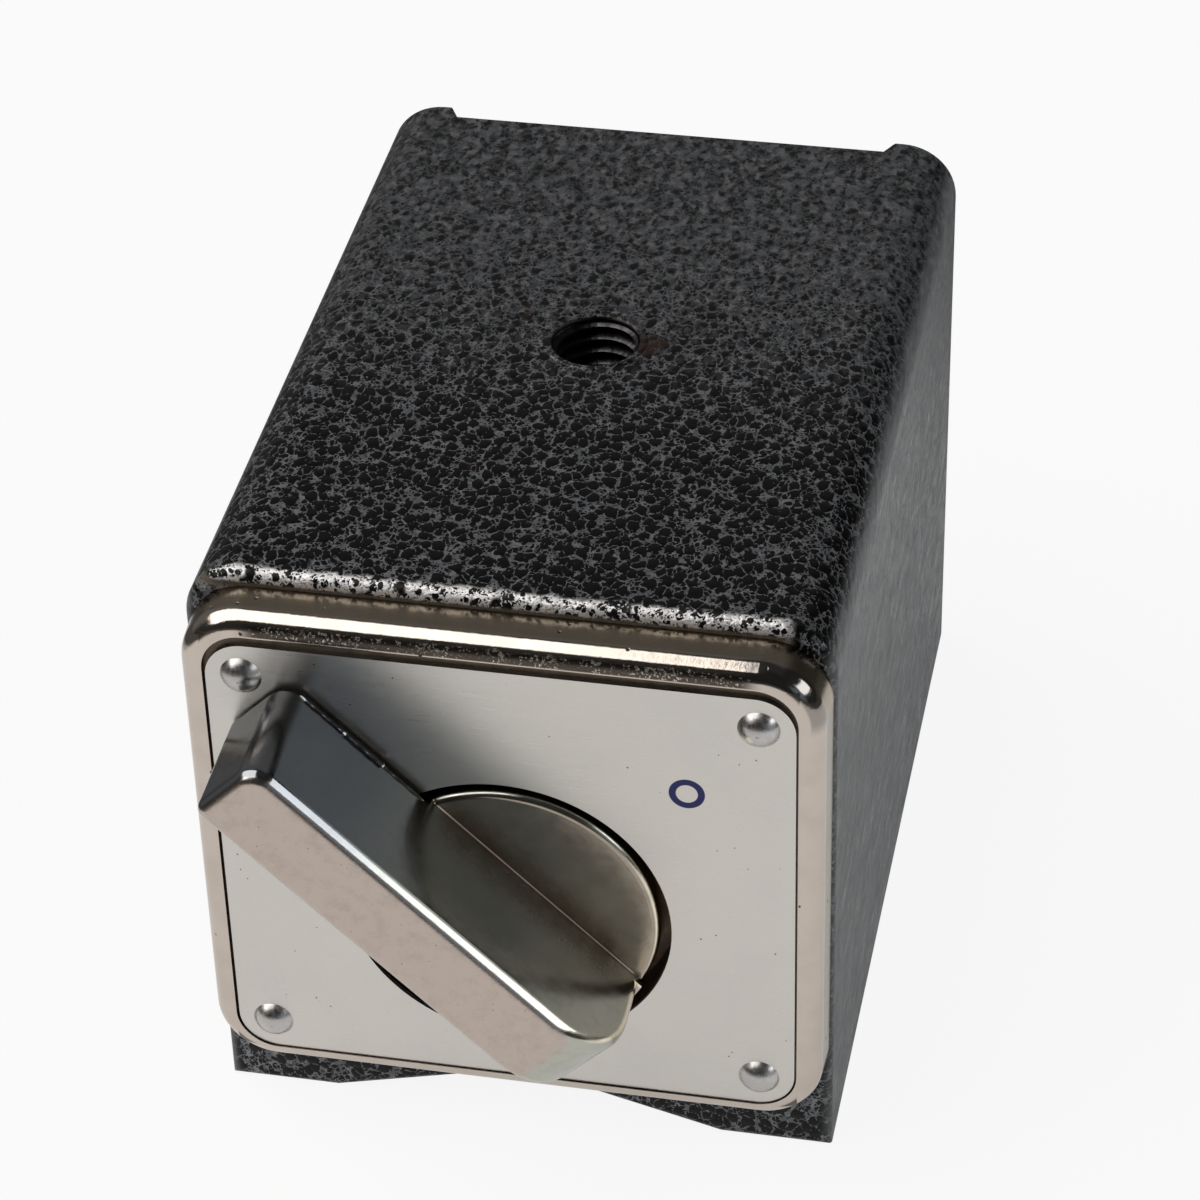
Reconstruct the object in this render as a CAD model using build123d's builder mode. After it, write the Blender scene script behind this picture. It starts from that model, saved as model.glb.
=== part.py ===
from build123d import *
from math import cos, radians, sin, sqrt, tan
import os

os.makedirs("parts", exist_ok=True)

# A switchable magnetic base. X runs across the block, Y runs back along the
# bore from the lever to the rear rails, and Z is up from the sole.

# Painted block
body_width = 50.8
body_height = 53.4
body_depth = 70.6
top_edge_radius = 4.8
end_edge_radius = 0.8
foot_width = 9.2
sole_web = 4.7
rail_width = 5.2
channel_depth = 2.1
channel_flank = 1.1
spacer_width = 12.7
bore_radius = 16.0
bore_height = 25.05

# Threaded hole for the rod, drawn at the thread's outer radius
thread_radius = 4.0
thread_depth = 8.5
thread_setback = 35.4
mouth_chamfer = 0.35
drill_angle = 118.0

# Face plate
plate_width = 45.8
plate_height = 41.4
plate_thickness = 0.4
plate_corner = 3.2
plate_centre = 28.5

# Front frame
bezel_width = 50.3
bezel_height = 46.0
bezel_centre = 29.1
bezel_depth = 3.95
bezel_corner = 5.2
bezel_draft = 3.5
rim_radius = 1.5
recess_height = 42.4
recess_centre = 28.95
plate_gap = 0.2
plate_sink = 0.17
spigot_length = 6.0
spigot_clearance = 0.1

# Rivets of the face plate
rivet_spread = 40.1
rivet_rise = 35.7
rivet_head_radius = 1.65
rivet_head_height = 0.9
rivet_radius = 1.15
rivet_length = 6.6

# Countersunk screws that hold the frame to the poles
bezel_screw_spread = 38.6
bezel_screw_rise = 18.0
bezel_screw_radius = 1.5
bezel_screw_head = 2.8
bezel_screw_length = 12.0

# Lever knob
knob_radius = 12.15
knob_thickness = 2.8
knob_sink = 0.13
knob_gap = 1.0
knob_edge_radius = 0.6
lever_width = 7.2
lever_rise = 10.85
lever_lift = 0.47
lever_reach = 26.7
lever_heel_radius = 6.3
lever_edge_radius = 1.0
tip_corner_radius = 2.0
tip_edge_radius = 0.8
lever_angle = 135.0
lever_turn = 90.0

# Spindle
spindle_radius = 5.0
stub_radius = 2.3
stub_length = 7.5
square_side = 6.9
square_length = 4.0
bush_wall = 2.0
thrust_thickness = 0.6
thrust_radius = 9.5
spring_thickness = 0.4
spring_rise = 0.8
spring_radius = 8.0
clip_thickness = 1.0
clip_radius = 7.5
clip_seat_radius = 4.2
clip_opening = 6.0

# Stop pin
stop_radius = 11.5
stop_pin_radius = 1.25
stop_angle = 225.0
stop_pin_seat = 4.5
stop_pin_reach = 2.5

# Rotor
cap_standoff = 1.4
cap_thickness = 4.5
magnet_thickness = 10.0
magnet_height = 28.6
magnet_chamfer = 0.4
rotor_air_gap = 0.4
rotor_screw_spread = 19.0
rotor_screw_radius = 1.5
rotor_screw_head = 2.8
rotor_screw_length = 12.0
journal_radius = 4.0

# Rear plug
plug_thickness = 6.0
plug_skin = 1.5
rear_end_gap = 0.8

# Clearances
running_gap = 0.3
bearing_gap = 0.05
seat_gap = 0.03
countersink = 90.0

# Places along Y, from the tip of the lever to the back. The block and the
# lever together lie half before and half behind Y = 0.
face_y = (bezel_depth - plate_sink + lever_rise - body_depth) / 2
rim_y = face_y - bezel_depth
plate_y = rim_y + plate_sink
floor_y = plate_y + plate_thickness
lever_y = plate_y - lever_rise
lever_back_y = plate_y - lever_lift
knob_y = plate_y + knob_sink
knob_back_y = knob_y + knob_thickness
thrust_y = knob_back_y + running_gap
pocket_y = thrust_y + thrust_thickness
spigot_y = face_y + spigot_length
spring_y = spigot_y + spring_rise + spring_thickness
clip_y = spring_y + running_gap
clip_back_y = clip_y + clip_thickness
cap_y = clip_back_y + cap_standoff
rear_y = face_y + body_depth
channel_y = rear_y - channel_depth
plug_y = channel_y - plug_thickness
rear_cap_back_y = plug_y - rear_end_gap
rear_cap_y = rear_cap_back_y - cap_thickness
core_y = cap_y + cap_thickness

# Other sizes that follow
half_width = body_width / 2
groove_half_width = half_width - foot_width
groove_depth = bore_height - bore_radius - sole_web
recess_width = plate_width + 2 * plate_gap
recess_corner = plate_corner + plate_gap
knob_hole_radius = knob_radius + knob_gap
bush_bore = spindle_radius + bearing_gap
bush_radius = bush_bore + bush_wall
rear_bush_bore = journal_radius + bearing_gap
rear_bush_radius = rear_bush_bore + bush_wall
rear_bush_length = plug_thickness - plug_skin
cap_radius = bore_radius - running_gap
core_radius = bore_radius - rotor_air_gap
core_length = rear_cap_y - core_y
thread_y = face_y + thread_setback
rivet_hole_depth = rivet_length - (face_y - plate_y) + running_gap
bezel_screw_hole_depth = bezel_screw_length - (face_y - floor_y) + running_gap
rotor_screw_hole_depth = rotor_screw_length - cap_thickness + running_gap
stop_slot_depth = stop_pin_reach + running_gap
rivet_dome_radius = (rivet_head_radius**2 + rivet_head_height**2) / (2 * rivet_head_height)
bore_axis = Axis((0, 0, bore_height), (0, 1, 0))
turning = Plane(origin=(0, 0, bore_height), x_dir=(0, 1, 0), z_dir=(1, 0, 0))


def facing_front(y, height=0):
    return Plane(origin=(0, y, height), x_dir=(1, 0, 0), z_dir=(0, -1, 0))


def facing_back(y, height=0):
    return Plane(origin=(0, y, height), x_dir=(-1, 0, 0), z_dir=(0, 1, 0))


# The block as it is bored and milled, before it is parted into poles and spacers
with BuildPart() as block:
    with BuildSketch(facing_front(rear_y)) as block_outline:
        with BuildLine():
            Polyline(
                (-half_width, 0),
                (-groove_half_width, 0),
                (0, groove_depth),
                (groove_half_width, 0),
                (half_width, 0),
                (half_width, body_height),
                (-half_width, body_height),
                close=True,
            )
        make_face()
        fillet(block_outline.vertices().group_by(Axis.Y)[-1], top_edge_radius)
    extrude(amount=body_depth)
    front_edges = block.faces().sort_by(Axis.Y)[0].edges()
    rear_edges = block.faces().sort_by(Axis.Y)[-1].edges()
    fillet(front_edges + rear_edges, end_edge_radius)
    with BuildSketch(facing_front(rear_y, bore_height)):
        Circle(bore_radius)
    extrude(amount=body_depth, mode=Mode.SUBTRACT)
    # Shallow channel down the back, between two rails
    with BuildSketch(Plane.XY):
        with BuildLine():
            Polyline(
                (-half_width + rail_width, rear_y),
                (-half_width + rail_width + channel_flank, channel_y),
                (half_width - rail_width - channel_flank, channel_y),
                (half_width - rail_width, rear_y),
                close=True,
            )
        make_face()
    extrude(amount=body_height, mode=Mode.SUBTRACT)

with BuildPart() as left_pole:
    add(block.part)
    split(bisect_by=Plane.YZ.offset(-spacer_width / 2), keep=Keep.BOTTOM)
    with Locations(facing_front(face_y, plate_centre)):
        with Locations((-rivet_spread / 2, rivet_rise / 2), (-rivet_spread / 2, -rivet_rise / 2)):
            Hole(rivet_radius + seat_gap, rivet_hole_depth)
        with Locations(
            (-bezel_screw_spread / 2, bezel_screw_rise / 2),
            (-bezel_screw_spread / 2, -bezel_screw_rise / 2),
        ):
            Hole(bezel_screw_radius + seat_gap, bezel_screw_hole_depth)
left_pole.part.label = "left_pole"
export_step(left_pole.part, "parts/left_pole.step")

with BuildPart() as right_pole:
    mirror(left_pole.part, about=Plane.YZ)
right_pole.part.label = "right_pole"
export_step(right_pole.part, "parts/right_pole.step")

# Brazed strip over the bore, with the blind threaded hole
with BuildPart() as top_spacer:
    add(block.part)
    split(bisect_by=Plane.YZ.offset(-spacer_width / 2), keep=Keep.TOP)
    split(bisect_by=Plane.YZ.offset(spacer_width / 2), keep=Keep.BOTTOM)
    split(bisect_by=Plane.XY.offset(bore_height), keep=Keep.TOP)
    drill_point = thread_radius / tan(radians(drill_angle / 2))
    with BuildSketch(Plane.XZ.offset(-thread_y)):
        with BuildLine():
            Polyline(
                (0, body_height),
                (thread_radius + mouth_chamfer, body_height),
                (thread_radius, body_height - mouth_chamfer),
                (thread_radius, body_height - thread_depth),
                (0, body_height - thread_depth - drill_point),
                close=True,
            )
        make_face()
    revolve(axis=Axis((0, thread_y, 0), (0, 0, 1)), mode=Mode.SUBTRACT)
top_spacer.part.label = "top_spacer"
export_step(top_spacer.part, "parts/top_spacer.step")

with BuildPart() as bottom_spacer:
    add(block.part)
    split(bisect_by=Plane.YZ.offset(-spacer_width / 2), keep=Keep.TOP)
    split(bisect_by=Plane.YZ.offset(spacer_width / 2), keep=Keep.BOTTOM)
    split(bisect_by=Plane.XY.offset(bore_height), keep=Keep.BOTTOM)
bottom_spacer.part.label = "bottom_spacer"
export_step(bottom_spacer.part, "parts/bottom_spacer.step")

# Plated frame: rounded rim, recess for the plate, pocket for the knob's disc
# and a spigot that centres it in the bore
with BuildPart() as front_bezel:
    with BuildSketch(facing_front(face_y, bezel_centre)):
        RectangleRounded(bezel_width, bezel_height, bezel_corner)
    extrude(amount=bezel_depth, taper=bezel_draft)
    fillet(front_bezel.faces().sort_by(Axis.Y)[0].edges(), rim_radius)
    with BuildSketch(facing_front(floor_y, recess_centre)):
        RectangleRounded(recess_width, recess_height, recess_corner)
    extrude(amount=bezel_depth, mode=Mode.SUBTRACT)
    with BuildSketch(facing_front(spigot_y, bore_height)):
        Circle(bore_radius - spigot_clearance)
    extrude(amount=spigot_length)
    with BuildSketch(facing_front(pocket_y, bore_height)):
        Circle(knob_hole_radius)
    extrude(amount=bezel_depth, mode=Mode.SUBTRACT)
    with BuildSketch(facing_front(spigot_y, bore_height)):
        Circle(bush_radius + seat_gap)
    extrude(amount=bezel_depth + spigot_length, mode=Mode.SUBTRACT)
    with Locations(facing_front(floor_y, plate_centre)):
        with GridLocations(rivet_spread, rivet_rise, 2, 2):
            Hole(rivet_radius + seat_gap, bezel_depth)
        with GridLocations(bezel_screw_spread, bezel_screw_rise, 2, 2):
            CounterSinkHole(
                bezel_screw_radius + seat_gap,
                bezel_screw_head + seat_gap,
                bezel_depth,
                countersink,
            )
    with Locations(facing_back(spigot_y, bore_height)):
        with PolarLocations(stop_radius, 1, start_angle=180 - stop_angle):
            Hole(stop_pin_radius + seat_gap, stop_pin_seat)
front_bezel.part.label = "front_bezel"
export_step(front_bezel.part, "parts/front_bezel.step")

with BuildPart() as bezel_screw:
    with BuildSketch(Plane.XZ):
        with BuildLine():
            Polyline(
                (0, 0),
                (bezel_screw_head, 0),
                (bezel_screw_radius, bezel_screw_radius - bezel_screw_head),
                (bezel_screw_radius, -bezel_screw_length),
                (0, -bezel_screw_length),
                close=True,
            )
        make_face()
    revolve(axis=Axis.Z)

with BuildPart() as bezel_screws:
    with Locations(facing_front(floor_y, plate_centre)):
        with GridLocations(bezel_screw_spread, bezel_screw_rise, 2, 2):
            add(bezel_screw.part)
bezel_screws.part.label = "bezel_screws"
export_step(bezel_screws.part, "parts/bezel_screws.step")

with BuildPart() as face_plate:
    with BuildSketch(facing_front(floor_y, plate_centre)):
        RectangleRounded(plate_width, plate_height, plate_corner)
        with GridLocations(rivet_spread, rivet_rise, 2, 2):
            Circle(rivet_radius + seat_gap, mode=Mode.SUBTRACT)
        with Locations((0, bore_height - plate_centre)):
            Circle(knob_hole_radius, mode=Mode.SUBTRACT)
    extrude(amount=plate_thickness)
face_plate.part.label = "face_plate"
export_step(face_plate.part, "parts/face_plate.step")

# Domed drive rivet: head on the plate, shank through the frame into the pole
with BuildPart() as plate_rivet:
    with BuildSketch(Plane.XZ):
        with BuildLine():
            Line((0, rivet_head_height), (0, -rivet_length))
            Line((0, -rivet_length), (rivet_radius, -rivet_length))
            Line((rivet_radius, -rivet_length), (rivet_radius, 0))
            Line((rivet_radius, 0), (rivet_head_radius, 0))
            RadiusArc((rivet_head_radius, 0), (0, rivet_head_height), -rivet_dome_radius)
        make_face()
    revolve(axis=Axis.Z)

with BuildPart() as plate_rivets:
    with Locations(facing_front(plate_y, plate_centre)):
        with GridLocations(rivet_spread, rivet_rise, 2, 2):
            add(plate_rivet.part)
plate_rivets.part.label = "plate_rivets"
export_step(plate_rivets.part, "parts/plate_rivets.step")

# Bar handle, from its plan and its side view: a big rounded heel over the
# disc's rim and a square tip with rounded corners
along = (cos(radians(lever_angle)), 0, sin(radians(lever_angle)))
beside = (sin(radians(lever_angle)), 0, -cos(radians(lever_angle)))
bar_height = lever_back_y - lever_y
heel = sqrt(knob_radius**2 - (lever_width / 2) ** 2)
lever_axis = Axis((0, 0, bore_height), along)
side_axis = Axis((0, 0, bore_height), beside)
with BuildPart() as lever_bar:
    with BuildSketch(
        Plane(origin=(0, lever_back_y, bore_height), x_dir=along, z_dir=beside)
    ) as bar_side:
        with Locations((-heel, 0)):
            Rectangle(heel + lever_reach, bar_height, align=(Align.MIN, Align.MIN))
        fillet(bar_side.vertices().sort_by_distance((-heel, bar_height))[0], lever_heel_radius)
    extrude(amount=lever_width / 2, both=True)
    tip_edges = lever_bar.faces().sort_by(lever_axis)[-1].edges().filter_by(Axis.Y)
    fillet(tip_edges.sort_by(side_axis)[-1], tip_corner_radius)
    lower_wall = lever_bar.faces().sort_by(side_axis)[0]
    fillet(lower_wall.edges().filter_by(Axis.Y).sort_by(lever_axis)[-1], tip_edge_radius)
    front_face = lever_bar.faces().sort_by(Axis.Y)[0]
    fillet(front_face.edges().sort_by(lever_axis)[1:], lever_edge_radius)

with BuildPart() as lever_knob:
    with BuildSketch(facing_front(knob_back_y, bore_height)):
        Circle(knob_radius)
    extrude(amount=knob_thickness)
    fillet(lever_knob.faces().sort_by(Axis.Y)[0].edges(), knob_edge_radius)
    # Web that joins the bar to the disc
    with BuildSketch(Plane(origin=(0, knob_back_y, bore_height), x_dir=along, z_dir=(0, -1, 0))):
        Circle(knob_radius)
        Rectangle(2 * knob_radius, lever_width, mode=Mode.INTERSECT)
    extrude(amount=knob_back_y - lever_back_y)
    add(lever_bar.part)
    with Locations(facing_back(knob_back_y, bore_height)):
        Hole(stub_radius + seat_gap, stub_length + running_gap)
lever_knob.part.label = "lever_knob"
export_step(lever_knob.part, "parts/lever_knob.step")

# Spindle: pressed stub, journal with the clip's groove, and a square end
with BuildPart() as spindle:
    with BuildSketch(turning):
        with BuildLine():
            Polyline(
                (knob_back_y - stub_length, 0),
                (knob_back_y - stub_length, stub_radius),
                (knob_back_y, stub_radius),
                (knob_back_y, spindle_radius),
                (clip_y - bearing_gap, spindle_radius),
                (clip_y - bearing_gap, clip_seat_radius - seat_gap),
                (clip_back_y + bearing_gap, clip_seat_radius - seat_gap),
                (clip_back_y + bearing_gap, spindle_radius),
                (cap_y, spindle_radius),
                (cap_y, 0),
                close=True,
            )
        make_face()
    revolve(axis=bore_axis)
    with BuildSketch(facing_back(cap_y, bore_height)):
        Rectangle(square_side, square_side)
    extrude(amount=square_length)
spindle.part.label = "spindle"
export_step(spindle.part, "parts/spindle.step")

with BuildPart() as spindle_bush:
    with BuildSketch(facing_front(spigot_y, bore_height)):
        Circle(bush_radius)
        Circle(bush_bore, mode=Mode.SUBTRACT)
    extrude(amount=spigot_y - pocket_y)
spindle_bush.part.label = "spindle_bush"
export_step(spindle_bush.part, "parts/spindle_bush.step")

with BuildPart() as thrust_washer:
    with BuildSketch(facing_front(pocket_y, bore_height)):
        Circle(thrust_radius)
        Circle(spindle_radius + running_gap, mode=Mode.SUBTRACT)
    extrude(amount=thrust_thickness)
thrust_washer.part.label = "thrust_washer"
export_step(thrust_washer.part, "parts/thrust_washer.step")

# Dished washer, its outer edge on the spigot and its inner edge at the clip
with BuildPart() as spring_washer:
    with BuildSketch(turning):
        with BuildLine():
            Polyline(
                (spigot_y, spring_radius),
                (spigot_y + spring_thickness, spring_radius),
                (spring_y, spindle_radius + running_gap),
                (spring_y - spring_thickness, spindle_radius + running_gap),
                close=True,
            )
        make_face()
    revolve(axis=bore_axis)
spring_washer.part.label = "spring_washer"
export_step(spring_washer.part, "parts/spring_washer.step")

with BuildPart() as retaining_clip:
    with BuildSketch(facing_front(clip_back_y, bore_height)):
        Circle(clip_radius)
        Circle(clip_seat_radius, mode=Mode.SUBTRACT)
        Rectangle(
            clip_opening, clip_radius, align=(Align.CENTER, Align.MAX), mode=Mode.SUBTRACT
        )
    extrude(amount=clip_thickness)
retaining_clip.part.label = "retaining_clip"
export_step(retaining_clip.part, "parts/retaining_clip.step")

with BuildPart() as stop_pin:
    with BuildSketch(facing_front(cap_y + stop_pin_reach, bore_height)):
        with PolarLocations(stop_radius, 1, start_angle=stop_angle):
            Circle(stop_pin_radius)
    extrude(amount=cap_y + stop_pin_reach - spigot_y + stop_pin_seat)
stop_pin.part.label = "stop_pin"
export_step(stop_pin.part, "parts/stop_pin.step")

# Slab magnet between two steel segments, held by a brass cap at each end
with BuildPart() as rotor_magnet:
    with BuildSketch(facing_front(rear_cap_y, bore_height)) as magnet_section:
        Rectangle(magnet_thickness, magnet_height)
        chamfer(magnet_section.vertices(), magnet_chamfer)
    extrude(amount=core_length)
rotor_magnet.part.label = "rotor_magnet"
export_step(rotor_magnet.part, "parts/rotor_magnet.step")

with BuildPart() as rotor_segment_left:
    with BuildSketch(facing_front(rear_cap_y, bore_height)):
        Circle(core_radius)
        with Locations((-magnet_thickness / 2, 0)):
            Rectangle(
                2 * core_radius,
                2 * core_radius,
                align=(Align.MIN, Align.CENTER),
                mode=Mode.SUBTRACT,
            )
    extrude(amount=core_length)
    with Locations(facing_front(core_y, bore_height)):
        with Locations((-rotor_screw_spread / 2, 0)):
            Hole(rotor_screw_radius + seat_gap, rotor_screw_hole_depth)
    with Locations(facing_back(rear_cap_y, bore_height)):
        with Locations((rotor_screw_spread / 2, 0)):
            Hole(rotor_screw_radius + seat_gap, rotor_screw_hole_depth)
rotor_segment_left.part.label = "rotor_segment_left"
export_step(rotor_segment_left.part, "parts/rotor_segment_left.step")

with BuildPart() as rotor_segment_right:
    mirror(rotor_segment_left.part, about=Plane.YZ)
rotor_segment_right.part.label = "rotor_segment_right"
export_step(rotor_segment_right.part, "parts/rotor_segment_right.step")

stop_path = CenterArc((0, 0), stop_radius, stop_angle, lever_turn)
with BuildPart() as rotor_front_cap:
    with BuildSketch(facing_front(core_y, bore_height)):
        Circle(cap_radius)
        Rectangle(
            square_side + 2 * bearing_gap, square_side + 2 * bearing_gap, mode=Mode.SUBTRACT
        )
    extrude(amount=cap_thickness)
    with Locations(facing_front(cap_y, bore_height)):
        with GridLocations(rotor_screw_spread, 1, 2, 1):
            CounterSinkHole(
                rotor_screw_radius + seat_gap,
                rotor_screw_head + seat_gap,
                cap_thickness,
                countersink,
            )
    # Slot that runs on the stop pin: its ends limit the turn
    with BuildSketch(facing_front(cap_y + stop_slot_depth, bore_height)):
        SlotArc(stop_path, 2 * (stop_pin_radius + running_gap))
    extrude(amount=stop_slot_depth, mode=Mode.SUBTRACT)
rotor_front_cap.part.label = "rotor_front_cap"
export_step(rotor_front_cap.part, "parts/rotor_front_cap.step")

with BuildPart() as rotor_rear_cap:
    with BuildSketch(facing_front(rear_cap_back_y, bore_height)):
        Circle(cap_radius)
    extrude(amount=cap_thickness)
    with BuildSketch(facing_back(rear_cap_back_y, bore_height)):
        Circle(journal_radius)
    extrude(amount=rear_end_gap + rear_bush_length - running_gap)
    with Locations(facing_back(rear_cap_back_y, bore_height)):
        with GridLocations(rotor_screw_spread, 1, 2, 1):
            CounterSinkHole(
                rotor_screw_radius + seat_gap,
                rotor_screw_head + seat_gap,
                cap_thickness,
                countersink,
            )
rotor_rear_cap.part.label = "rotor_rear_cap"
export_step(rotor_rear_cap.part, "parts/rotor_rear_cap.step")

with BuildPart() as rotor_screw:
    with BuildSketch(Plane.XZ):
        with BuildLine():
            Polyline(
                (0, 0),
                (rotor_screw_head, 0),
                (rotor_screw_radius, rotor_screw_radius - rotor_screw_head),
                (rotor_screw_radius, -rotor_screw_length),
                (0, -rotor_screw_length),
                close=True,
            )
        make_face()
    revolve(axis=Axis.Z)

with BuildPart() as rotor_screws:
    with Locations(facing_front(cap_y, bore_height), facing_back(rear_cap_back_y, bore_height)):
        with GridLocations(rotor_screw_spread, 1, 2, 1):
            add(rotor_screw.part)
rotor_screws.part.label = "rotor_screws"
export_step(rotor_screws.part, "parts/rotor_screws.step")

# Plain plug that closes the bore, flush with the floor of the rear channel
with BuildPart() as rear_plug:
    with BuildSketch(facing_front(channel_y, bore_height)):
        Circle(bore_radius - seat_gap)
    extrude(amount=plug_thickness)
    with Locations(facing_front(plug_y, bore_height)):
        Hole(rear_bush_radius + seat_gap, rear_bush_length)
rear_plug.part.label = "rear_plug"
export_step(rear_plug.part, "parts/rear_plug.step")

with BuildPart() as rear_bush:
    with BuildSketch(facing_front(plug_y + rear_bush_length, bore_height)):
        Circle(rear_bush_radius)
        Circle(rear_bush_bore, mode=Mode.SUBTRACT)
    extrude(amount=rear_bush_length)
rear_bush.part.label = "rear_bush"
export_step(rear_bush.part, "parts/rear_bush.step")

print("lever axis height", bore_height, "face", face_y, "rear", rear_y, "plate", plate_y)
print("thread", thread_y, "lever front", lever_y, "core length", core_length)
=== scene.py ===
import math
import bpy
import bmesh
from mathutils import Matrix, Vector


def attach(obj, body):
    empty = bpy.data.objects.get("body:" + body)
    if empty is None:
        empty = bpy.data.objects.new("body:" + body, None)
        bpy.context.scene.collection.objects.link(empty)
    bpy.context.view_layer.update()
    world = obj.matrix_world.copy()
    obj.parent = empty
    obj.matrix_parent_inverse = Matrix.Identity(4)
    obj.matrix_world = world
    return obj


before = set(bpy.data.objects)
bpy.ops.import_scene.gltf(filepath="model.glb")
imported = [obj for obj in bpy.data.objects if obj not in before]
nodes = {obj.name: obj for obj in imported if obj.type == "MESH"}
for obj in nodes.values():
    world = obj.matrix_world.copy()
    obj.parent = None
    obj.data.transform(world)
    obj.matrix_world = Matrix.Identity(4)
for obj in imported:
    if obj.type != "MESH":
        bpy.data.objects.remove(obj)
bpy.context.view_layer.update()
mm = 0.001

# Places that the pieces share, in millimetres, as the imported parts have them
layout = {
    "sideX": 25.4,
    "faceY": -27.985,
    "discY": -31.635,
    "plateY": -31.765,
    "rimY": -31.935,
    "leverBackY": -32.235,
    "leverY": -42.615,
    "holeY": 7.415,
    "axisZ": 25.05,
    "topZ": 53.4,
    "leverAngle": 135.0,
}
print("frame loaded:", len(nodes), "nodes")


class Value:  # one output of a shader node, used in sums like a number
    def __init__(self, sheet, node, output=0):
        self.sheet = sheet
        self.node = node
        self.socket = node.outputs[output]

    def part(self, output):
        return Value(self.sheet, self.node, output)

    def math(self, operation, *others):
        return self.sheet.add("ShaderNodeMath", {"operation": operation}, self, *others)

    def __add__(self, other):
        return self.math("ADD", other)

    def __sub__(self, other):
        return self.math("SUBTRACT", other)

    def __rsub__(self, other):
        return self.sheet.add("ShaderNodeMath", {"operation": "SUBTRACT"}, other, self)

    def __mul__(self, other):
        return self.math("MULTIPLY", other)

    def __truediv__(self, other):
        return self.math("DIVIDE", other)

    def __rtruediv__(self, other):
        return self.sheet.add("ShaderNodeMath", {"operation": "DIVIDE"}, other, self)

    def __pow__(self, other):
        return self.math("POWER", other)

    __radd__ = __add__
    __rmul__ = __mul__

    def size(self):
        return self.math("ABSOLUTE")

    def least(self, other):
        return self.math("MINIMUM", other)

    def most(self, other):
        return self.math("MAXIMUM", other)

    def root(self):
        return self.math("SQRT")


class Sheet:  # the node tree of one finish
    def __init__(self, tree):
        self.tree = tree
        tree.nodes.clear()

    def add(self, kind, settings, *values, named=None):  # values in order, then by name
        node = self.tree.nodes.new(kind)
        for name, value in settings.items():
            setattr(node, name, value)
        for socket, value in [*enumerate(values), *(named or {}).items()]:
            self.feed(node.inputs[socket], value)
        return Value(self, node)

    def feed(self, socket, value):
        if isinstance(value, Value):
            self.tree.links.new(value.socket, socket)
        elif value is not None:
            socket.default_value = value

    def end(self, kind, shader):
        self.feed(self.tree.nodes.new(kind).inputs["Surface"], shader)

    def scale(self, vector, factors):
        return self.add("ShaderNodeVectorMath", {"operation": "MULTIPLY"}, vector, factors)

    def shift(self, vector, push, amount):  # vector + push * amount
        step = (amount, amount, amount)
        return self.add("ShaderNodeVectorMath", {"operation": "MULTIPLY_ADD"}, push, step, vector)

    def axes(self, vector):
        split = self.add("ShaderNodeSeparateXYZ", {}, vector)
        return split.part(0), split.part(1), split.part(2)

    def noise(self, vector, scale, detail=2.0, roughness=0.5):
        return self.add("ShaderNodeTexNoise", {}, vector, None, scale, detail, roughness)

    def cells(self, vector, scale, feature="F1"):
        return self.add("ShaderNodeTexVoronoi", {"feature": feature}, vector, None, scale)

    def step(self, value, low, high, start=0.0, end=1.0):  # soft step between two levels
        settings = {"interpolation_type": "SMOOTHSTEP"}
        return self.add("ShaderNodeMapRange", settings, value, low, high, start, end)

    def blend(self, factor, first, second):  # between two colours, in sockets 6 and 7
        unused = [None] * 5
        mix = self.add("ShaderNodeMix", {"data_type": "RGBA"}, factor, *unused, first, second)
        return mix.part(2)

    def bump(self, height, distance, strength=1.0):
        sockets = {"Strength": strength, "Distance": distance, "Height": height}
        return self.add("ShaderNodeBump", {}, named=sockets)


class Finish(Sheet):  # one material, with its place on the object in millimetres
    def __init__(self, name):
        self.material = bpy.data.materials.new(name)
        self.material.use_nodes = True
        super().__init__(self.material.node_tree)
        place = self.add("ShaderNodeTexCoord", {}).part("Object")
        self.place = self.scale(place, (1000.0, 1000.0, 1000.0))
        self.x, self.y, self.z = self.axes(self.place)

    def surface(self, sockets):
        shader = self.add("ShaderNodeBsdfPrincipled", {}, named=sockets)
        self.end("ShaderNodeOutputMaterial", shader)
        return self.material

    def distanceTo(self, x, z, y=None):  # from a line along Y, or along Z where y is given
        second = self.z - z if y is None else self.y - y
        return ((self.x - x) * (self.x - x) + second * second).root()


def colour(red, green, blue):
    return (red, green, blue, 1.0)


# Hammered paint of the block
paint = {
    "cell": colour(0.0020, 0.0024, 0.0030),
    "cellTint": colour(0.0065, 0.0058, 0.0048),
    "vein": colour(0.145, 0.150, 0.160),
    "veinBright": colour(0.25, 0.25, 0.26),
    "farTone": colour(0.036, 0.038, 0.041),
    "wallSheenTone": colour(0.30, 0.305, 0.305),
    "lowMetal": colour(0.125, 0.105, 0.080),
    "rust": colour(0.030, 0.015, 0.010),
    "edgeHighlightMetal": colour(0.93, 0.90, 0.89),
    "steelDark": colour(0.27, 0.265, 0.26),
    "steelLight": colour(0.42, 0.41, 0.40),
    "boreShadeDark": colour(0.010, 0.009, 0.008),
    "boreShadeLight": colour(0.035, 0.03, 0.026),
    "cellScale": 1.0,
    "middleScale": 2.1,
    "dotScale": 3.9,
    "islandScale": 1.45,
    "stretch": (1.0, 0.80, 0.92),
    "farStart": -8.0,
    "farEnd": 36.0,
    "edgeReach": 1.8,
    "edgeHalf": 22.4,
    "rustX": 4.4,
    "rustHalfX": 1.9,
    "rustHalfY": 1.5,
    "seamX": -6.4,
    "holeRadius": 4.32,
    "pillowDepth": 0.13,
}


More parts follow.
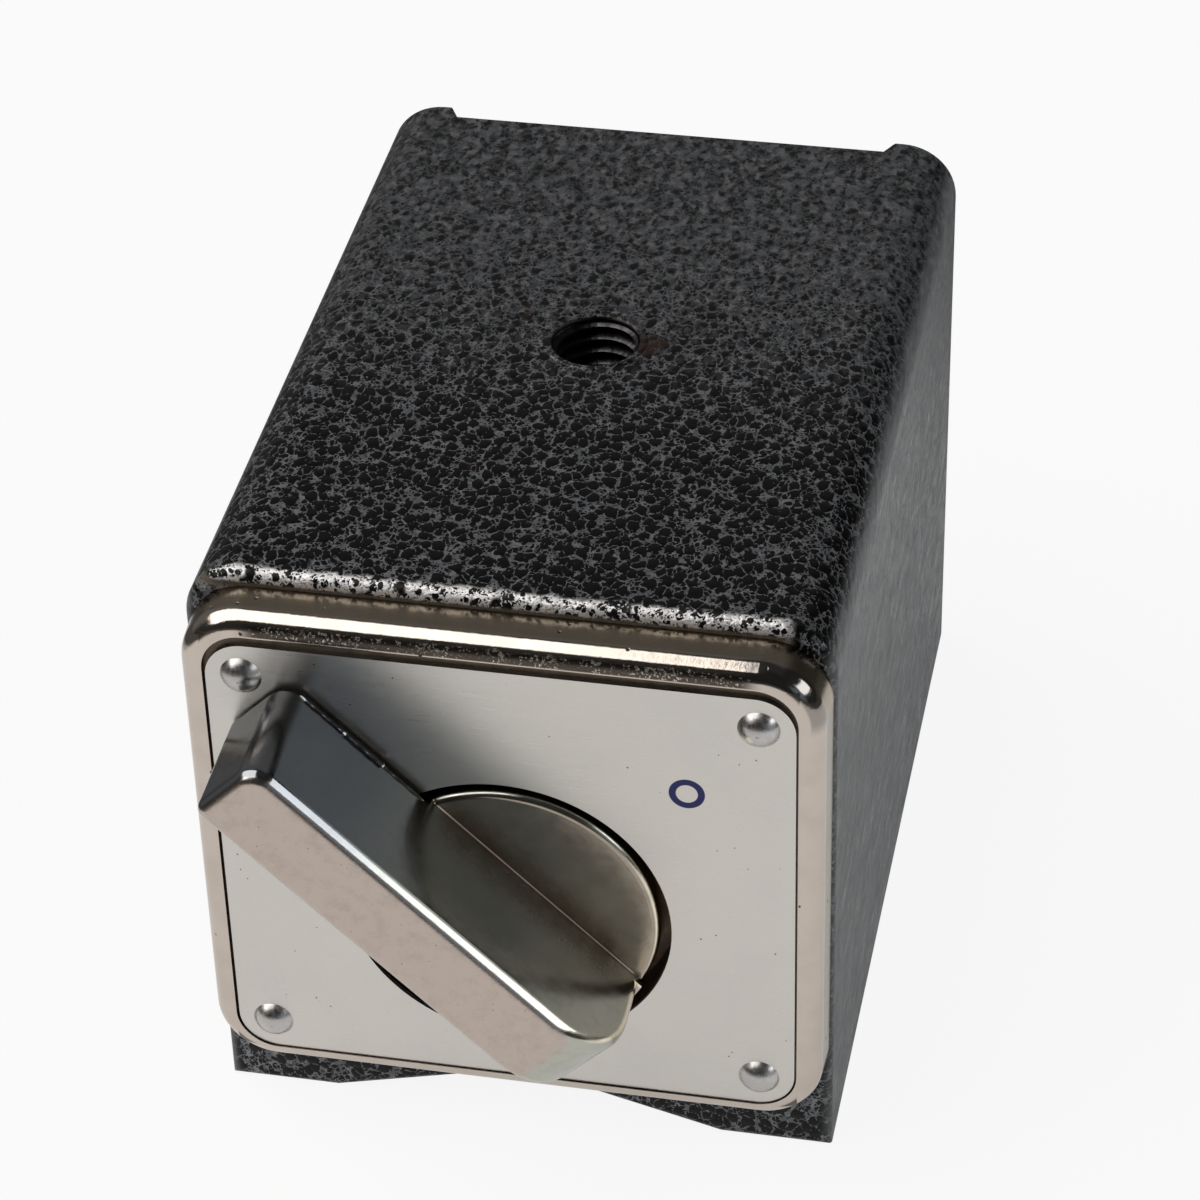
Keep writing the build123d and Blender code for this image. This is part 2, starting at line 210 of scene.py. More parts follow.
def makePaint():
    f = Finish("hammeredPaint")
    top, face, side = layout["topZ"], layout["faceY"], layout["sideX"]
    spot = f.scale(f.place, paint["stretch"])
    spot = f.shift(spot, f.noise(f.place, 0.6, 1.0).part("Color"), 0.8)
    spot = f.shift(spot, f.noise(f.place, 3.0, 1.0).part("Color"), 0.14)
    seed = f.cells(spot, paint["cellScale"])
    edge = f.cells(spot, paint["cellScale"], "DISTANCE_TO_EDGE")
    middle = f.cells(spot, paint["middleScale"])
    middleEdge = f.cells(spot, paint["middleScale"], "DISTANCE_TO_EDGE")
    dot = f.cells(f.place, paint["dotScale"])
    grain = f.noise(f.place, 4.5, 3.0)
    # The pattern closes up and softens towards the back
    far = f.step(f.y, paint["farStart"], paint["farEnd"])
    soft = far * 0.2 + 0.03

    # Round black cells of three sizes, and grey veins where none of them reaches
    reach = f.noise(f.place, 0.55, 1.0) * 0.24 + grain * 0.08 + 0.36
    cell = f.step(seed, reach + soft, reach - soft) * f.step(edge, 0.015, 0.035 + soft)
    second = f.step(middle, 0.50 + soft, 0.50 - soft) * f.step(middleEdge, 0.03, 0.06 + soft)
    third = f.step(dot, 0.36 + soft, 0.36 - soft)
    vein = (1.0 - cell.most(second).most(third)) * f.step(grain, 0.24, 0.44, 0.5, 1.0)
    blurred = f.step(f.noise(f.scale(f.place, (1.0, 0.6, 1.0)), 1.4, 2.0), 0.47, 0.60)
    vein = vein + far * 0.6 * (blurred - vein)

    # Bright bare metal is painted along the front edge of the top, between small round islands of
    # paint, as a painted highlight on the rounded edge
    ragged = f.noise(f.place, 0.8, 2.0) * 1.2
    edgeBand = f.step(f.y + ragged, face + paint["edgeReach"], face + paint["edgeReach"] - 0.5)
    edgeBand = edgeBand * f.step(f.z, top - 2.2, top - 1.2)
    edgeBand = edgeBand * f.step(f.x, paint["edgeHalf"], paint["edgeHalf"] - 1.2)
    lowBand = edgeBand * f.step(f.z + ragged * 0.3, top - 0.65, top - 0.95)
    wobbly = f.shift(f.place, f.noise(f.place, 1.3).part("Color"), 0.5)
    highlightIslands = f.step(f.cells(wobbly, paint["islandScale"]), 0.42, 0.47)
    highlightIslands = highlightIslands * f.step(f.noise(f.place, 0.45, 1.0), 0.37, 0.45) * f.step(grain, 0.36, 0.46)
    highlightIslands = highlightIslands.most(vein * f.step(grain, 0.40, 0.48))
    vein = vein + edgeBand * (highlightIslands - vein)
    wall = f.step(f.x.size(), side - 1.2, side - 0.1)

    blotches = f.noise(f.scale(f.place, (1.0, 0.45, 1.0)), 0.55, 3.0)
    hollow = f.blend(f.noise(f.place, 0.9), paint["cell"], paint["cellTint"])
    bright = f.step(f.noise(f.place, 1.4), 0.42, 0.66)
    veinTone = f.blend(bright, paint["vein"], paint["veinBright"])
    # Painted highlight: the veins of the edge band take a bright metal tone
    veinTone = f.blend(edgeBand, veinTone, paint["edgeHighlightMetal"])
    tone = f.blend(vein, hollow, veinTone)
    tone = f.blend(lowBand, tone, paint["lowMetal"])
    tone = f.blend(far * 0.16, tone, paint["farTone"])
    # Painted sheen: the side walls are lighter in blotches, most towards the top, standing in for
    # the reflection they catch
    sideSheen = wall * f.step(blotches, 0.30, 0.70, 0.22, 0.44) * f.step(f.z, 28.0, 50.0, 0.9, 1.5)
    tone = f.blend(sideSheen, tone, paint["wallSheenTone"])

    # Rust tint beside the hole and along the seam of the spacer
    rustX = (f.x - paint["rustX"]) / paint["rustHalfX"]
    rustY = (f.y - layout["holeY"]) / paint["rustHalfY"]
    aroundHole = (rustX ** 2.0 + rustY ** 2.0).root()
    onTop = f.step(f.z, top - 1.0, top - 0.2)
    rust = f.step(aroundHole + f.noise(f.place, 1.2) * 0.8, 1.7, 0.8) * onTop
    besideSeam = (f.x - paint["seamX"]).size() + f.noise(f.place, 0.8) * 0.7
    blotch = f.step(f.noise(f.scale(f.place, (0.5, 1.0, 1.0)), 0.23, 1.0), 0.53, 0.66)
    seam = f.step(besideSeam, 0.75, 0.35) * onTop * blotch
    tone = f.blend((rust * 0.75).most(seam * 0.6), tone, paint["rust"])

    # Ground sole and rail ends, and the steel wall of the threaded hole, painted near black as
    # shade inside the hole
    sole = f.step(f.z, 0.06, 0.02)
    inside = paint["holeRadius"] - f.distanceTo(0.0, 0.0, layout["holeY"])
    inHole = f.step(inside, 0.0, 0.12) * f.step(f.z, top + 0.01, top - 0.15)
    grind = f.noise(f.scale(f.place, (0.5, 9.0, 1.0)), 1.1, 4.0)
    tone = f.blend(sole, tone, f.blend(grind, paint["steelDark"], paint["steelLight"]))
    boreShade = f.blend(f.noise(f.place, 1.5), paint["boreShadeDark"], paint["boreShadeLight"])
    tone = f.blend(inHole, tone, boreShade)

    bare = sole.most(inHole)
    metal = (vein * f.step(wall, 0.0, 1.0, 0.6, 0.2).most(edgeBand)).most(bare) * (1.0 - lowBand)
    gloss = f.step(vein, 0.0, 1.0, 0.16, 0.40) + wall * 0.24
    gloss = gloss + edgeBand * vein * 0.14 + bare * 0.16
    gloss = gloss + wall * (blotches - 0.5) * 0.5
    pillow = f.step(seed, 0.72, 0.10)
    height = pillow * f.step(wall, 0.0, 1.0, 0.45, 0.3) * (1.0 - bare)
    height = height + grain * f.step(edgeBand, 0.0, 1.0, 0.05, 0.9)
    return f.surface({
        "Specular IOR Level": 0.2,
        "Base Color": tone,
        "Metallic": metal,
        "Roughness": gloss,
        "Normal": f.bump(height, paint["pillowDepth"] * mm),
    })


# Nickel of the frame and of the lever
nickel = {
    "frame": colour(0.62, 0.545, 0.480),
    "frameWarm": colour(0.585, 0.51, 0.445),
    "wall": colour(0.41, 0.345, 0.262),
    "leverFront": colour(0.547, 0.460, 0.406),
    "leverTipShade": colour(0.31, 0.32, 0.335),
    "leverWall": colour(0.50, 0.50, 0.44),
    "leverHeelHighlight": colour(0.95, 0.87, 0.70),
    "cloud": colour(0.30, 0.27, 0.24),
    "disc": colour(0.41, 0.35, 0.285),
    "grimeAndShade": colour(0.17, 0.13, 0.10),
    "sootAndShade": colour(0.05, 0.038, 0.03),
    "recess": colour(0.17, 0.14, 0.11),
    "recessDark": colour(0.06, 0.046, 0.034),
    "copper": colour(0.42, 0.17, 0.07),
    "cornerShade": colour(0.10, 0.11, 0.12),
    "recessMiddleZ": 28.95,
    "recessHalfX": 23.1,
    "recessHalfZ": 21.2,
    "sootShadeTop": 51.20,
    "sootShadeBottom": 50.2,
    "cornerX": 19.95,
    "cornerZ": 46.9,
    "dentDepth": 0.03,
}


def makeFrameNickel():
    f = Finish("frameNickel")
    rim, back = layout["rimY"], layout["faceY"]
    cloud = f.noise(f.place, 0.35, 3.0)
    grain = f.noise(f.place, 4.2, 4.0, 0.65)
    tone = f.blend(f.step(cloud, 0.35, 0.7), nickel["frame"], nickel["frameWarm"])
    # The flat wall behind the round is duller than the round, and painted darker to stand in for
    # the dark room it reflects
    wall = f.step(f.y, rim + 1.35, rim + 1.75)
    tone = f.blend(wall, tone, nickel["wall"])
    # Soot and painted shade on the lower half of the round over the plate, and dirt and painted
    # shade in the recess
    sootShadeTop = nickel["sootShadeTop"]
    shadedLowHalf = f.step(f.z - f.noise(f.place, 1.1) * 0.4, sootShadeTop, sootShadeTop - 0.25)
    shadedLowHalf = shadedLowHalf * f.step(f.z, nickel["sootShadeBottom"], nickel["sootShadeBottom"] + 0.12)
    shadedLowHalf = shadedLowHalf * f.step(f.x.size(), 20.5, 18.5)
    sootAndShade = shadedLowHalf * f.step(grain + f.noise(f.place, 0.45) * 0.30, 0.50, 0.60)
    tone = f.blend(sootAndShade * 0.92, tone, nickel["sootAndShade"])
    # Painted shade and dirt on the recess floor between the rim and the plate
    inset = (f.z - nickel["recessMiddleZ"]).size() - nickel["recessHalfZ"]
    inset = (f.x.size() - nickel["recessHalfX"]).most(inset)
    recess = f.step(inset, 0.05, 0.0) * f.step(f.y, rim + 0.02, rim + 0.12)
    recessDirtAndShade = f.blend(f.noise(f.place, 1.1, 3.0), nickel["recessDark"], nickel["recess"])
    tone = f.blend(recess, tone, recessDirtAndShade)
    pit = f.step(f.cells(f.place, 0.55), 0.10, 0.05) * f.step(f.noise(f.place, 0.31), 0.50, 0.56)
    tone = f.blend(pit, tone, nickel["sootAndShade"])
    # The upper right corner of the round is painted darker, as shade where it reflects the dark
    # room
    shadedCorner = f.step(f.distanceTo(nickel["cornerX"], nickel["cornerZ"]), 3.95, 4.2)
    shadedCorner = shadedCorner * f.step(f.x, 18.4, 19.6) * f.step(f.z, 46.0, 47.5) * (1.0 - wall)
    tone = f.blend(shadedCorner * 0.5, tone, nickel["cornerShade"])
    # Painted shade and a little copper where the frame meets the block
    tone = f.blend(f.step(f.y, back - 0.5, back - 0.1) * 0.9, tone, nickel["grimeAndShade"])
    copper = f.step(f.y, back - 0.35, back - 0.02) * f.step(f.noise(f.place, 2.2, 2.0), 0.58, 0.66)
    tone = f.blend(copper * 0.4, tone, nickel["copper"])
    gloss = f.step(cloud, 0.3, 0.7, 0.08, 0.12) + wall * 0.09 + recess * 0.3 + sootAndShade * 0.2
    height = f.noise(f.place, 0.9, 2.0) * 0.5 + grain * 0.26 - pit * 1.5 - sootAndShade * 0.5
    return f.surface({
        "Metallic": 1.0,
        "Base Color": tone,
        "Roughness": gloss,
        "Normal": f.bump(height, nickel["dentDepth"] * mm, 0.8),
    })


def makeLeverNickel():
    f = Finish("leverNickel")
    tip, disc = layout["leverY"], layout["discY"]
    turn = math.radians(layout["leverAngle"])
    above = f.x * math.sin(turn) - (f.z - layout["axisZ"]) * math.cos(turn)
    along = f.x * math.cos(turn) + (f.z - layout["axisZ"]) * math.sin(turn)
    front = f.step(f.y, tip + 0.5, tip + 0.1)
    heelRound = f.step(above, 3.45, 3.1) * f.step(along, -10.6, -11.8)
    front = front.most(heelRound)
    onDisc = f.step(f.y, disc - 0.4, disc - 0.1) * f.step(f.y, disc + 0.12, disc + 0.03)
    # The wall is painted with a reflection gradient, darker towards the tip and warmer and
    # brighter towards the heel, with a painted highlight on the heel
    wallSheenTone = f.blend(f.step(along, 20.0, 8.0), nickel["leverTipShade"], nickel["leverWall"])
    heelHighlight = f.step(along, 4.0, -9.0) * f.step(above, 3.3, 3.5)
    wallSheenTone = f.blend(heelHighlight, wallSheenTone, nickel["leverHeelHighlight"])
    tone = f.blend(front, wallSheenTone, nickel["leverFront"])
    grimeAndShade = f.noise(f.place, 0.55, 4.0, 0.6)
    # The disc's nickel is painted darker as shade from the bar it reflects, with random grime over
    # it
    discTone = f.blend(f.step(grimeAndShade, 0.38, 0.75) * 0.25, nickel["disc"], nickel["grimeAndShade"])
    tone = f.blend(onDisc, tone, discTone)
    # Painted shade along the foot of the bar, on the disc and low on the wall, where the disc
    # reflects the bar
    foot = f.step((above - 3.7).size() + grimeAndShade * 3.0, 3.4, 1.2)
    foot = foot * f.step(f.y, disc - 4.5, disc - 1.0)
    foot = foot * f.step((along - 0.5).size(), 11.0, 8.0) * (1.0 - front)
    tone = f.blend(foot * 0.75, tone, nickel["grimeAndShade"])
    cloud = f.noise(f.place, 0.9, 4.0, 0.6)
    tone = f.blend(f.step(cloud, 0.45, 0.75) * 0.22, tone, nickel["cloud"])
    speck = f.step(f.cells(f.place, 1.3), 0.075, 0.04) * f.step(f.noise(f.place, 0.5), 0.5, 0.56)
    tone = f.blend(speck * 0.7, tone, nickel["sootAndShade"])
    scratch = f.noise(f.scale(f.place, (1.0, 0.25, 1.0)), 9.0, 3.0, 0.7)
    inner = f.step(f.y, tip + 0.9, tip + 1.5)
    gloss = f.step(cloud, 0.3, 0.7, 0.09, 0.15) + front * 0.14 + inner * 0.08 + foot * 0.12
    sand = f.noise(f.place, 6.5, 3.0, 0.6) * front * 0.35
    height = f.noise(f.place, 1.0, 2.0) * 0.35 + scratch * 0.12 + sand - speck * 0.6
    return f.surface({
        "Metallic": 1.0,
        "Base Color": tone,
        "Roughness": gloss,
        "Normal": f.bump(height, nickel["dentDepth"] * mm, 0.8),
    })


# Brushed face plate with its two marks
plate = {
    "light": colour(0.645, 0.613, 0.570),
    "lighter": colour(0.728, 0.692, 0.648),
    "cloud": colour(0.62, 0.59, 0.56),
    "speck": colour(0.12, 0.095, 0.075),
    "ink": colour(0.004, 0.012, 0.135),
    "markX": 14.5,
    "markZ": 39.35,
    "ringRadius": 1.13,
    "stroke": 0.55,
    "barHeight": 2.7,
    "brushDepth": 0.005,
}


def makePlateFinish():
    f = Finish("brushedPlate")
    streak = f.noise(f.scale(f.place, (0.16, 1.0, 7.0)), 1.6, 5.0, 0.6)
    fine = f.noise(f.scale(f.place, (0.5, 1.0, 16.0)), 1.5, 3.0, 0.6)
    cloud = f.noise(f.place, 0.16, 3.0)
    tone = f.blend(streak, plate["light"], plate["lighter"])
    tone = f.blend(f.step(cloud, 0.4, 0.75) * 0.35, tone, plate["cloud"])
    speck = f.step(f.cells(f.place, 0.9), 0.085, 0.05) * f.step(f.noise(f.place, 0.33), 0.54, 0.58)
    tone = f.blend(speck, tone, plate["speck"])
    half = plate["stroke"] / 2
    ring = (f.distanceTo(plate["markX"], plate["markZ"]) - plate["ringRadius"]).size() - half
    barX = (f.x + plate["markX"]).size() - half
    barZ = (f.z - plate["markZ"]).size() - plate["barHeight"] / 2
    printed = f.step(f.y, layout["plateY"] + 0.165, layout["plateY"] + 0.065)
    mark = f.step(ring.least(barX.most(barZ)), 0.03, -0.03) * printed
    tone = f.blend(mark, tone, plate["ink"])
    return f.surface({
        "Base Color": tone,
        "Metallic": 1.0 - mark * 0.9,
        "Roughness": f.step(streak, 0.3, 0.7, 0.27, 0.36) + mark * 0.12,
        "Normal": f.bump(streak * 0.3 + fine * 0.5, plate["brushDepth"] * mm, 0.8),
    })


# Plain metals of the rivets, the thread and what is inside:
# light tone, dark tone, roughness, scale of the clouds, depth of the dents
metals = {
    "rivetMetal": (colour(0.60, 0.58, 0.56), colour(0.53, 0.51, 0.49), 0.30, 0.5, 0.002),
    "plainSteel": (colour(0.46, 0.45, 0.44), colour(0.33, 0.32, 0.31), 0.28, 1.2, 0.01),
    # The thread's tones are painted near black, as shade inside the hole
    "threadSteelShaded": (colour(0.085, 0.08, 0.085), colour(0.03, 0.027, 0.027), 0.24, 1.2, 0.01),
    "bearingBronze": (colour(0.52, 0.33, 0.16), colour(0.36, 0.22, 0.11), 0.35, 1.2, 0.01),
    "capBrass": (colour(0.62, 0.46, 0.20), colour(0.48, 0.34, 0.15), 0.3, 1.2, 0.01),
    "magnetGrey": (colour(0.11, 0.11, 0.115), colour(0.06, 0.06, 0.062), 0.5, 1.2, 0.01),
    "softIron": (colour(0.35, 0.34, 0.33), colour(0.22, 0.21, 0.205), 0.38, 1.2, 0.01),
}


def makeMetal(name):
    light, dark, roughness, scale, dent = metals[name]
    f = Finish(name)
    cloud = f.noise(f.place, scale, 3.0)
    grain = f.noise(f.place, scale * 6.0, 2.0)
    return f.surface({
        "Metallic": 1.0,
        "Base Color": f.blend(f.step(cloud, 0.35, 0.7), light, dark),
        "Roughness": f.step(grain, 0.3, 0.7, roughness * 0.85, roughness * 1.2),
        "Normal": f.bump(cloud * 0.6 + grain * 0.4, dent * mm, 0.7),
    })


# Paint of the plug behind the bore
plug = {"dark": colour(0.010, 0.011, 0.012), "light": colour(0.028, 0.028, 0.029), "depth": 0.04}


def makePlugPaint():
    f = Finish("plugPaint")
    cloud = f.noise(f.place, 1.4, 3.0)
    return f.surface({
        "Base Color": f.blend(cloud, plug["dark"], plug["light"]),
        "Roughness": f.step(cloud, 0.3, 0.7, 0.36, 0.5),
        "Normal": f.bump(f.noise(f.place, 3.0, 3.0), plug["depth"] * mm, 0.7),
    })


paintFinish = makePaint()
leverFinish = makeLeverNickel()
steelFinish = makeMetal("plainSteel")
threadFinish = makeMetal("threadSteelShaded")
bronzeFinish = makeMetal("bearingBronze")

finishes = (
    (paintFinish, ("left_pole", "right_pole", "top_spacer", "bottom_spacer")),
    (makeFrameNickel(), ("front_bezel",)),
    (makePlateFinish(), ("face_plate",)),
    (leverFinish, ("lever_knob",)),
    (makeMetal("rivetMetal"), ("plate_rivets",)),
    (steelFinish, ("bezel_screws", "spindle", "spring_washer")),
    (steelFinish, ("retaining_clip", "stop_pin", "rotor_screws")),
    (bronzeFinish, ("spindle_bush", "thrust_washer", "rear_bush")),
    (makeMetal("capBrass"), ("rotor_front_cap", "rotor_rear_cap")),
    (makeMetal("magnetGrey"), ("rotor_magnet",)),
    (makeMetal("softIron"), ("rotor_segment_left", "rotor_segment_right")),
    (makePlugPaint(), ("rear_plug",)),
)
for material, wearers in finishes:
    for name in wearers:
        slots = nodes[name].data.materials
        slots.clear()
        slots.append(material)
print("finishes on", sum(len(wearers) for material, wearers in finishes), "nodes")


def keepPiece(name, mesh, body, material, smooth=True):
    bmesh.ops.recalc_face_normals(mesh, faces=mesh.faces)
    data = bpy.data.meshes.new(name)
    mesh.to_mesh(data)
    mesh.free()
    data.materials.append(material)
    for face in data.polygons:
        face.use_smooth = smooth
    piece = bpy.data.objects.new(name, data)
    bpy.context.scene.collection.objects.link(piece)
    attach(piece, body)
    return piece


def spinRoundHole(mesh, geometry, angle, steps, rise, closed):
    bmesh.ops.spin(
        mesh,
        geom=geometry,
        cent=(0, layout["holeY"] * mm, 0),
        axis=(0, 0, 1),
        dvec=(0, 0, rise),
        angle=angle,
        steps=steps,
        use_merge=closed,
        use_duplicate=False,
    )


# Thread in the top hole: one ridge wound down the wall
thread = {
    "outer": 4.03,
    "inner": 3.28,
    "pitch": 1.25,
    "footShare": 0.92,
    "crestShare": 0.16,
    "turns": 6.2,
    "top": 52.82,
    "stepsPerTurn": 40,
}


def makeThread():
    mesh = bmesh.new()
    half = thread["pitch"] / 2
    foot, crest = half * thread["footShare"], half * thread["crestShare"]
    profile = (
        (thread["outer"], foot),
        (thread["inner"], crest),
        (thread["inner"], -crest),
        (thread["outer"], -foot),
    )
    corners = [mesh.verts.new((r * mm, 0, (thread["top"] + z) * mm)) for r, z in profile]
    face = mesh.faces.new(corners)
    bmesh.ops.translate(mesh, verts=mesh.verts, vec=(0, layout["holeY"] * mm, 0))
    geometry = [face] + list(face.edges) + list(face.verts)
    steps = int(thread["turns"] * thread["stepsPerTurn"])
    rise = -thread["pitch"] / thread["stepsPerTurn"] * mm
    spinRoundHole(mesh, geometry, math.tau * thread["turns"], steps, rise, False)
    piece = keepPiece("threadRidge", mesh, "base", threadFinish, smooth=False)
    heights = [v.co.z / mm for v in piece.data.vertices]
    print("thread ridge from", round(min(heights), 2), "to", round(max(heights), 2))


makeThread()

# Narrow lip of paint and scale round the mouth of the hole
lip = {
    "outer": 4.36,
    "inner": 3.5,
    "bevel": 0.22,
    "undercut": 0.12,
    "top": 53.385,
    "neck": 53.16,
    "under": 52.75,
    "steps": 64,
}


def makeLip():
    mesh = bmesh.new()
    outline = (
        (lip["outer"], lip["top"]),
        (lip["inner"] + lip["bevel"], lip["top"]),
        (lip["inner"], lip["neck"]),
        (lip["inner"] + lip["undercut"], lip["under"]),
        (lip["outer"], lip["under"]),
    )
    corners = [mesh.verts.new((r * mm, layout["holeY"] * mm, z * mm)) for r, z in outline]
    edges = [mesh.edges.new((a, b)) for a, b in zip(corners, corners[1:] + corners[:1])]
    spinRoundHole(mesh, corners + edges, math.tau, lip["steps"], 0, True)
    keepPiece("holeLip", mesh, "base", paintFinish)


makeLip()


def barPoint(along, beside, y):  # a place beside the bar, seen from its own line
    turn = math.radians(layout["leverAngle"])
    x = along * math.cos(turn) + beside * math.sin(turn)
    z = layout["axisZ"] + along * math.sin(turn) - beside * math.cos(turn)
    return Vector((x * mm, y * mm, z * mm))


def drawAlongBar(mesh, section, pivot, stations):  # extrudes a section from station to station
    start, size = stations[0]
    face = mesh.faces.new([mesh.verts.new(barPoint(start, *point)) for point in section])
    centre = barPoint(start, *pivot)
    grow = (size, size, size)
    bmesh.ops.scale(mesh, verts=face.verts, vec=grow, space=Matrix.Translation(-centre))
    for along, nextSize in stations[1:]:
        made = bmesh.ops.extrude_face_region(mesh, geom=[face])["geom"]
        face = [item for item in made if isinstance(item, bmesh.types.BMFace)][0]
        target = barPoint(along, *pivot)
        bmesh.ops.translate(mesh, verts=face.verts, vec=target - centre)
        ratio = nextSize / size
        grow = (ratio, ratio, ratio)
        bmesh.ops.scale(mesh, verts=face.verts, vec=grow, space=Matrix.Translation(-target))
        centre, size = target, nextSize


# Small hollow round where the bar's upper wall meets the disc
root = {
    "wall": 3.58,
    "radius": 0.20,
    "sink": 0.02,
    "from": -10.9,
    "to": 11.3,
    "taper": 0.5,
    "endSize": 0.3,
    "steps": 8,
}


def makeRoot():
    mesh = bmesh.new()
    wall, radius = root["wall"], root["radius"]
    low = layout["discY"] + root["sink"]
    section = [(wall, low), (wall, low - radius)]
    for index in range(1, root["steps"] + 1):
        angle = math.pi / 2 * index / root["steps"]
        beside = wall + radius * (1 - math.cos(angle))
        section.append((beside, low - radius * (1 - math.sin(angle))))
    start, end = root["from"], root["to"]
    places = (start, start + root["taper"], end - root["taper"], end)
    sizes = (root["endSize"], 1.0, 1.0, root["endSize"])
    drawAlongBar(mesh, section, section[0], list(zip(places, sizes)))
    keepPiece("barRoot", mesh, "rotor", leverFinish)


# Casting flash: a thin uneven ridge along the rear edge of the bar's upper wall
flash = {
    "wall": 3.55,
    "wide": 0.30,
    "deep": 0.34,
    "belly": 0.05,
    "sink": 0.02,
    "from": 12.2,
    "to": 25.2,
    "taper": 0.5,
    "least": 0.25,
    "steps": 90,
    "breaks": ((12.2, 16.4, 0.42), (16.4, 20.6, 1.0), (20.6, 25.2, 0.72)),
}


def makeFlash():
    mesh = bmesh.new()
    wall, deep = flash["wall"], flash["deep"]
    back = layout["leverBackY"] + flash["sink"]
    side = wall + flash["wide"]
    section = [
        (wall, back),
        (side, back),
        (side + flash["belly"], back - deep * 0.5),
        (side, back - deep),
        (wall, back - deep * 1.3),
    ]
    stations = []
    for index in range(flash["steps"] + 1):
        along = flash["from"] + (flash["to"] - flash["from"]) * index / flash["steps"]
        for start, end, level in flash["breaks"]:
            if start <= along <= end:
                height = level
        ripple = 0.06 * math.sin(along * 4.3) + 0.03 * math.sin(along * 11.1 + 1.0)
        inside = min(along - flash["from"], flash["to"] - along)
        fade = min(1.0, inside / flash["taper"])
        size = max(0.02, (height + ripple) * fade)
        stations.append((along, flash["least"] + (1.0 - flash["least"]) * size))
    drawAlongBar(mesh, section, section[0], stations)
    keepPiece("castingFlash", mesh, "rotor", leverFinish)


makeRoot()
makeFlash()
print("small castings done")

# Floor and room; each fade is where the room's level changes along one axis
studio = {
    "floorSize": 3.0,
    "floorShow": 0.90,
    "floorMirrored": 0.5,
    "floorTone": colour(0.86, 0.86, 0.86),
    "white": colour(1.0, 1.0, 1.0),
    "surround": colour(0.10, 0.097, 0.094),
    "poolX": 0.05,
    "poolY": -0.11,
    "poolInner": 0.175,
    "poolOuter": 0.235,
    "room": 0.15,
    "frontRoom": 0.03,
    "frontFade": (-0.35, 0.15),
    "zenith": 0.05,
    "zenithFade": (0.66, 0.85),
    "rightRoom": 0.03,
    "rightFade": (0.25, 0.55),
    "glowPlace": (0.682, -0.706, 0.191),
    "glowFade": (0.955, 0.995),
    "glow": colour(0.22, 0.27, 0.33),
}


def makeFloor():
    mesh = bmesh.new()
    bmesh.ops.create_grid(mesh, x_segments=1, y_segments=1, size=studio["floorSize"] / 2)
    data = bpy.data.meshes.new("floor")
    mesh.to_mesh(data)
    mesh.free()
    f = Finish("floorWhite")
    path = f.add("ShaderNodeLightPath", {})
    camera = path.part("Is Camera Ray")
    # Metal sees a painted pool of light on the floor in front and to the right, and the floor
    # darker outside it
    lightPool = f.distanceTo(studio["poolX"] / mm, 0.0, studio["poolY"] / mm) * mm
    lightPool = f.step(lightPool, studio["poolInner"], studio["poolOuter"]) * (1.0 - camera)
    tone = f.blend(lightPool, studio["floorTone"], studio["surround"])
    shine = f.blend(lightPool, studio["white"], studio["surround"])
    diffuse = f.add("ShaderNodeBsdfDiffuse", {}, tone)
    glow = f.add("ShaderNodeEmission", {}, shine, 1.0)
    mirrored = path.part("Is Glossy Ray").most(path.part("Is Transmission Ray"))
    seen = (camera * studio["floorShow"]).most(mirrored * studio["floorMirrored"])
    f.end("ShaderNodeOutputMaterial", f.add("ShaderNodeMixShader", {}, seen, diffuse, glow))
    data.materials.append(f.material)
    floor = bpy.data.objects.new("floor", data)
    bpy.context.scene.collection.objects.link(floor)


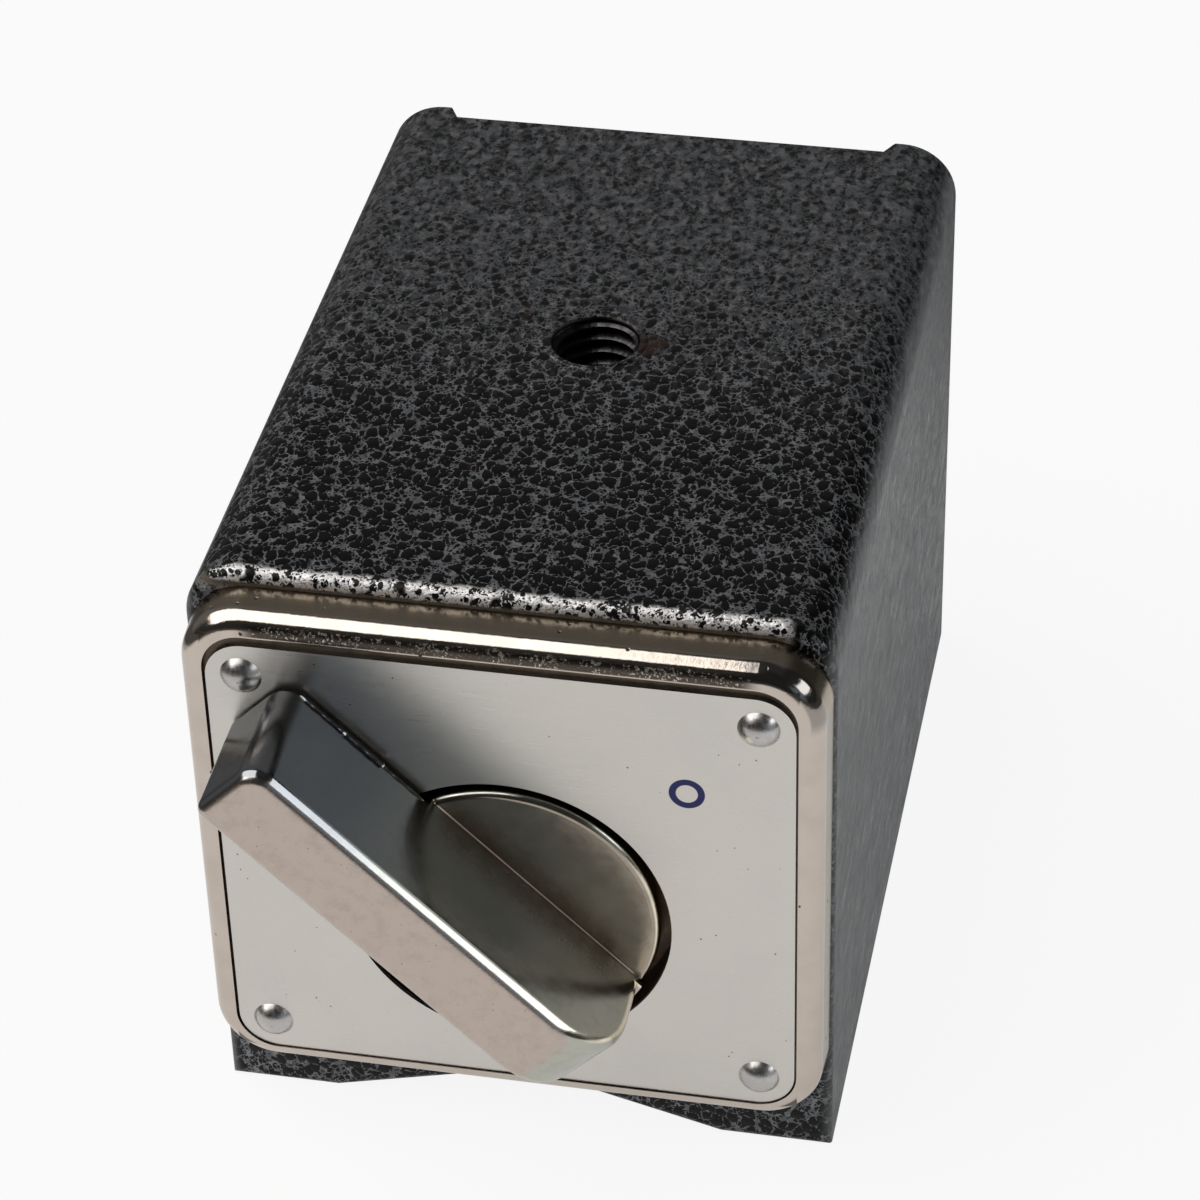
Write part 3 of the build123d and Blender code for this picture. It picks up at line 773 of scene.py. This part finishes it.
def makeWorld():
    world = bpy.data.worlds.new("studio")
    world.use_nodes = True
    bpy.context.scene.world = world
    sheet = Sheet(world.node_tree)
    direction = sheet.add("ShaderNodeTexCoord", {}).part("Generated")
    x, y, z = sheet.axes(direction)
    room = studio["room"]
    level = sheet.step(y, *studio["frontFade"], studio["frontRoom"], room)
    level = level.least(sheet.step(z, *studio["zenithFade"], room, studio["zenith"]))
    level = level.least(sheet.step(x, *studio["rightFade"], room, studio["rightRoom"]))
    grey = sheet.add("ShaderNodeCombineXYZ", {}, level, level, level)
    gx, gy, gz = studio["glowPlace"]
    near = sheet.step(x * gx + y * gy + z * gz, *studio["glowFade"])
    tone = sheet.blend(near, grey, studio["glow"])
    seen = sheet.add("ShaderNodeLightPath", {}).part("Is Camera Ray")
    tone = sheet.blend(seen, tone, studio["white"])
    sheet.end("ShaderNodeOutputWorld", sheet.add("ShaderNodeBackground", {}, tone, 1.0))


# Lamps: place, point aimed at, width, height, radiance, tone
lamps = {
    "overhead": ((-0.62, -0.17, 0.97), (0, -0.17, 0.03), 1.5, 1.15, 2.1, (1.0, 0.99, 0.97)),
    "right": ((0.95, -0.08, 0.47), (0, -0.03, 0.03), 1.15, 0.36, 2.4, (0.93, 0.97, 1.0)),
    "leftFront": ((-1.0, -0.75, 0.75), (0, 0, 0.03), 0.4, 0.4, 1.6, (1.0, 0.98, 0.96)),
}


def makeLamp(name):
    place, aim, width, height, radiance, tone = lamps[name]
    data = bpy.data.lights.new(name, "AREA")
    data.shape = "RECTANGLE"
    data.size, data.size_y = width, height
    data.energy = radiance * math.pi * width * height
    data.color = tone
    lamp = bpy.data.objects.new(name, data)
    lamp.location = place
    lamp.rotation_euler = (Vector(aim) - Vector(place)).to_track_quat("-Z", "Y").to_euler()
    bpy.context.scene.collection.objects.link(lamp)


# Camera, as worked out from the straight edges of the block
view = {
    "lens": 124.631,
    "sensor": 36.0,
    "place": (0.059640, -0.270024, 0.242309),
    "right": (0.98081, 0.19358, -0.02340),
    "up": (-0.09890, 0.59733, 0.79587),
    "back": (0.16804, -0.77828, 0.60501),
}


def makeCamera():
    data = bpy.data.cameras.new("camera")
    data.sensor_width = view["sensor"]
    data.lens = view["lens"]
    data.clip_start, data.clip_end = 0.01, 20.0
    camera = bpy.data.objects.new("camera", data)
    turn = Matrix((view["right"], view["up"], view["back"])).transposed()
    camera.matrix_world = Matrix.Translation(view["place"]) @ turn.to_4x4()
    bpy.context.scene.collection.objects.link(camera)
    bpy.context.scene.camera = camera


makeFloor()
makeWorld()
for name in lamps:
    makeLamp(name)
makeCamera()
bpy.context.scene.view_settings.view_transform = "Standard"
print("studio ready")

print("scene finished")
